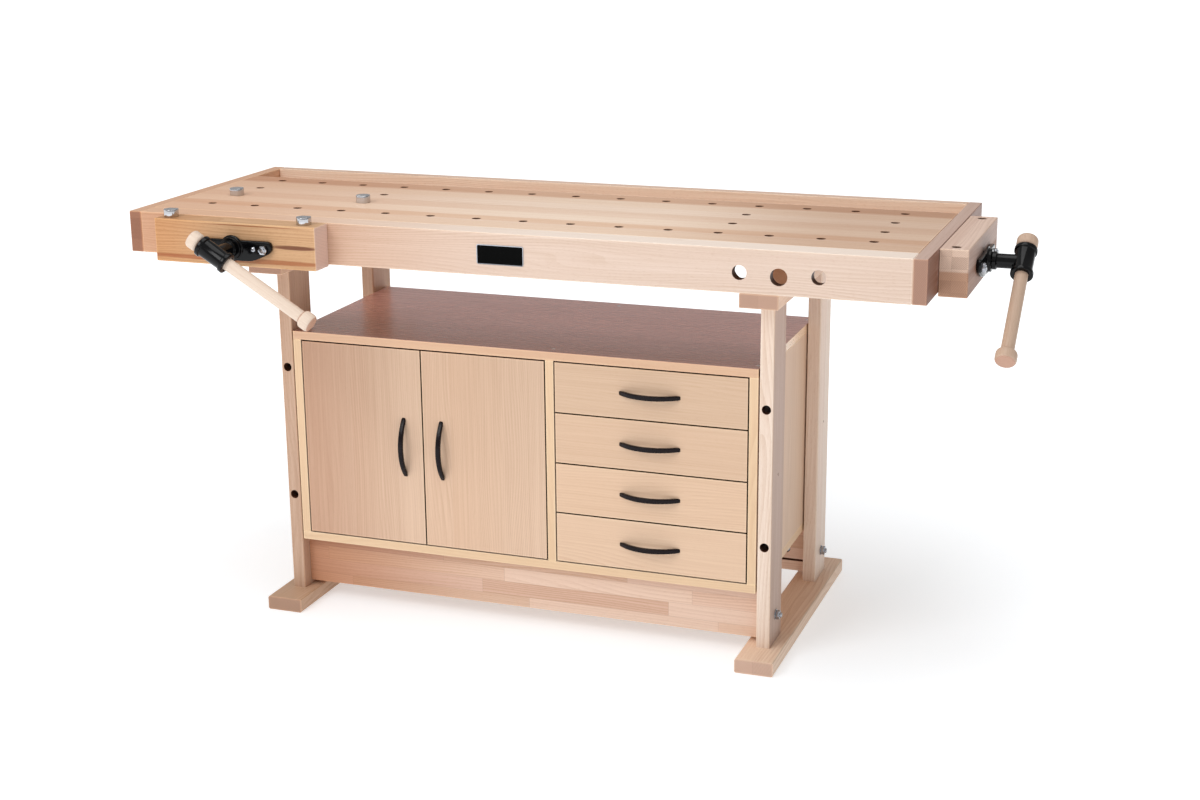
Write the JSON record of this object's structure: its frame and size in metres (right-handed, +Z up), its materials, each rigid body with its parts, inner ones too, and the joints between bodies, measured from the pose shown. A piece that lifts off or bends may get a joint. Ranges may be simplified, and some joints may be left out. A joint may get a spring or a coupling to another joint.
{
  "type": "cabinetmaker workbench with vises",
  "caption": "Wooden cabinetmaker workbench with a front vise, a tail vise, dog holes, a rear tool tray, and an under-bench cabinet with doors and drawers.",
  "frame": {"origin": "on the floor, under the middle of the outer box", "axes": "+X along the worktop towards the tail vise, -Y towards the person at the bench, +Z up"},
  "size_m": [1.8574, 0.782, 0.8862],
  "materials": {
    "worktop_beech": "oiled",
    "frame_beech": "satin",
    "cabinet_beech": "satin",
    "front_beech": "satin",
    "drawer_beech": "satin",
    "jaw_beech": "oiled",
    "turned_beech": "satin",
    "black_casting": "gloss black enamel",
    "black_handle": "satin black",
    "bright_steel": "turned bright",
    "zinc_steel": "zinc plated"
  },
  "bodies": {
    "bench": {"top_slab": "worktop_beech", "front_apron": "worktop_beech", "left_end_board": "worktop_beech", "right_end_board": "worktop_beech", "tray_floor": "worktop_beech", "tray_back_board": "worktop_beech", "left_foot": "frame_beech", "right_foot": "frame_beech", "left_front_leg": "frame_beech", "left_back_leg": "frame_beech", "right_front_leg": "frame_beech", "right_back_leg": "frame_beech", "left_top_beam": "frame_beech", "right_top_beam": "frame_beech", "front_stretcher": "frame_beech", "back_stretcher": "frame_beech", "stretcher_bolts": "zinc_steel", "vise_nuts": "black_casting", "cabinet_top": "cabinet_beech", "cabinet_bottom": "cabinet_beech", "cabinet_left_side": "cabinet_beech", "cabinet_right_side": "cabinet_beech", "cabinet_divider": "cabinet_beech", "cabinet_back": "cabinet_beech", "cabinet_shelf": "cabinet_beech", "cabinet_fittings": "zinc_steel"},
    "front_jaw": {"front_jaw": "jaw_beech", "front_vise_plate": "black_casting", "front_guide_rods": "bright_steel"},
    "front_screw": {"front_vise_screw": "bright_steel", "front_vise_hub": "black_casting"},
    "front_handle": {"front_vise_handle": "turned_beech"},
    "tail_jaw": {"tail_jaw": "jaw_beech", "tail_vise_plate": "black_casting", "tail_guide_rods": "bright_steel"},
    "tail_screw": {"tail_vise_screw": "bright_steel", "tail_vise_hub": "black_casting"},
    "tail_handle": {"tail_vise_handle": "turned_beech"},
    "left_jaw_dog": {"left_jaw_dog": "bright_steel"},
    "right_jaw_dog": {"right_jaw_dog": "bright_steel"},
    "left_table_dog": {"left_table_dog": "bright_steel"},
    "right_table_dog": {"right_table_dog": "bright_steel"},
    "left_door": {"left_door": "front_beech", "left_door_handle": "black_handle", "left_door_hinges": "zinc_steel"},
    "right_door": {"right_door": "front_beech", "right_door_handle": "black_handle", "right_door_hinges": "zinc_steel"},
    "drawer_1": {"drawer_1_front": "front_beech", "drawer_1_box": "drawer_beech", "drawer_1_handle": "black_handle"},
    "drawer_2": {"drawer_2_front": "front_beech", "drawer_2_box": "drawer_beech", "drawer_2_handle": "black_handle"},
    "drawer_3": {"drawer_3_front": "front_beech", "drawer_3_box": "drawer_beech", "drawer_3_handle": "black_handle"},
    "drawer_4": {"drawer_4_front": "front_beech", "drawer_4_box": "drawer_beech", "drawer_4_handle": "black_handle"}
  },
  "joints": [
    {"name": "front_screw_turn", "type": "hinge", "parent": "front_jaw", "child": "front_screw", "pos_m": [-0.64555, -0.3685, 0.819], "axis": [0, -1, 0], "range_deg": [0, 8370]},
    {"name": "front_jaw_slide", "type": "slide", "parent": "bench", "child": "front_jaw", "axis": [0, -1, 0], "range_m": [0, 0.1395]},
    {"name": "front_handle_slide", "type": "slide", "parent": "front_screw", "child": "front_handle", "axis": [-0.8554, 0, 0.518], "range_m": [0, 0.188]},
    {"name": "tail_screw_turn", "type": "hinge", "parent": "tail_jaw", "child": "tail_screw", "pos_m": [0.90625, 0.0565, 0.816], "axis": [1, 0, 0], "range_deg": [0, 8370]},
    {"name": "tail_jaw_slide", "type": "slide", "parent": "bench", "child": "tail_jaw", "axis": [1, 0, 0], "range_m": [0, 0.1395]},
    {"name": "tail_handle_slide", "type": "slide", "parent": "tail_screw", "child": "tail_handle", "axis": [0, 0.7934, 0.6088], "range_m": [0, 0.188]},
    {"name": "left_door_swing", "type": "hinge", "parent": "bench", "child": "left_door", "pos_m": [-0.57175, -0.1625, 0.1665], "axis": [0, 0, -1], "range_deg": [0, 105]},
    {"name": "right_door_swing", "type": "hinge", "parent": "bench", "child": "right_door", "pos_m": [-0.01725, -0.1625, 0.1665], "axis": [0, 0, 1], "range_deg": [0, 90]},
    {"name": "drawer_1_slide", "type": "slide", "parent": "bench", "child": "drawer_1", "axis": [0, -1, 0], "range_m": [0, 0.3]},
    {"name": "drawer_2_slide", "type": "slide", "parent": "bench", "child": "drawer_2", "axis": [0, -1, 0], "range_m": [0, 0.3]},
    {"name": "drawer_3_slide", "type": "slide", "parent": "bench", "child": "drawer_3", "axis": [0, -1, 0], "range_m": [0, 0.3]},
    {"name": "drawer_4_slide", "type": "slide", "parent": "bench", "child": "drawer_4", "axis": [0, -1, 0], "range_m": [0, 0.3]},
    {"name": "left_jaw_dog_lift", "type": "slide", "parent": "front_jaw", "child": "left_jaw_dog", "axis": [0, 0, 1], "range_m": [0, 0.07]},
    {"name": "right_jaw_dog_lift", "type": "slide", "parent": "front_jaw", "child": "right_jaw_dog", "axis": [0, 0, 1], "range_m": [0, 0.07]},
    {"name": "left_table_dog_lift", "type": "slide", "parent": "bench", "child": "left_table_dog", "axis": [0, 0, 1], "range_m": [0, 0.07]},
    {"name": "right_table_dog_lift", "type": "slide", "parent": "bench", "child": "right_table_dog", "axis": [0, 0, 1], "range_m": [0, 0.07]}
  ],
  "couplings": [
    {"joint": "front_jaw_slide", "follows": "front_screw_turn", "m_per_rad": 0.00095493},
    {"joint": "tail_jaw_slide", "follows": "tail_screw_turn", "m_per_rad": 0.00095493}
  ]
}
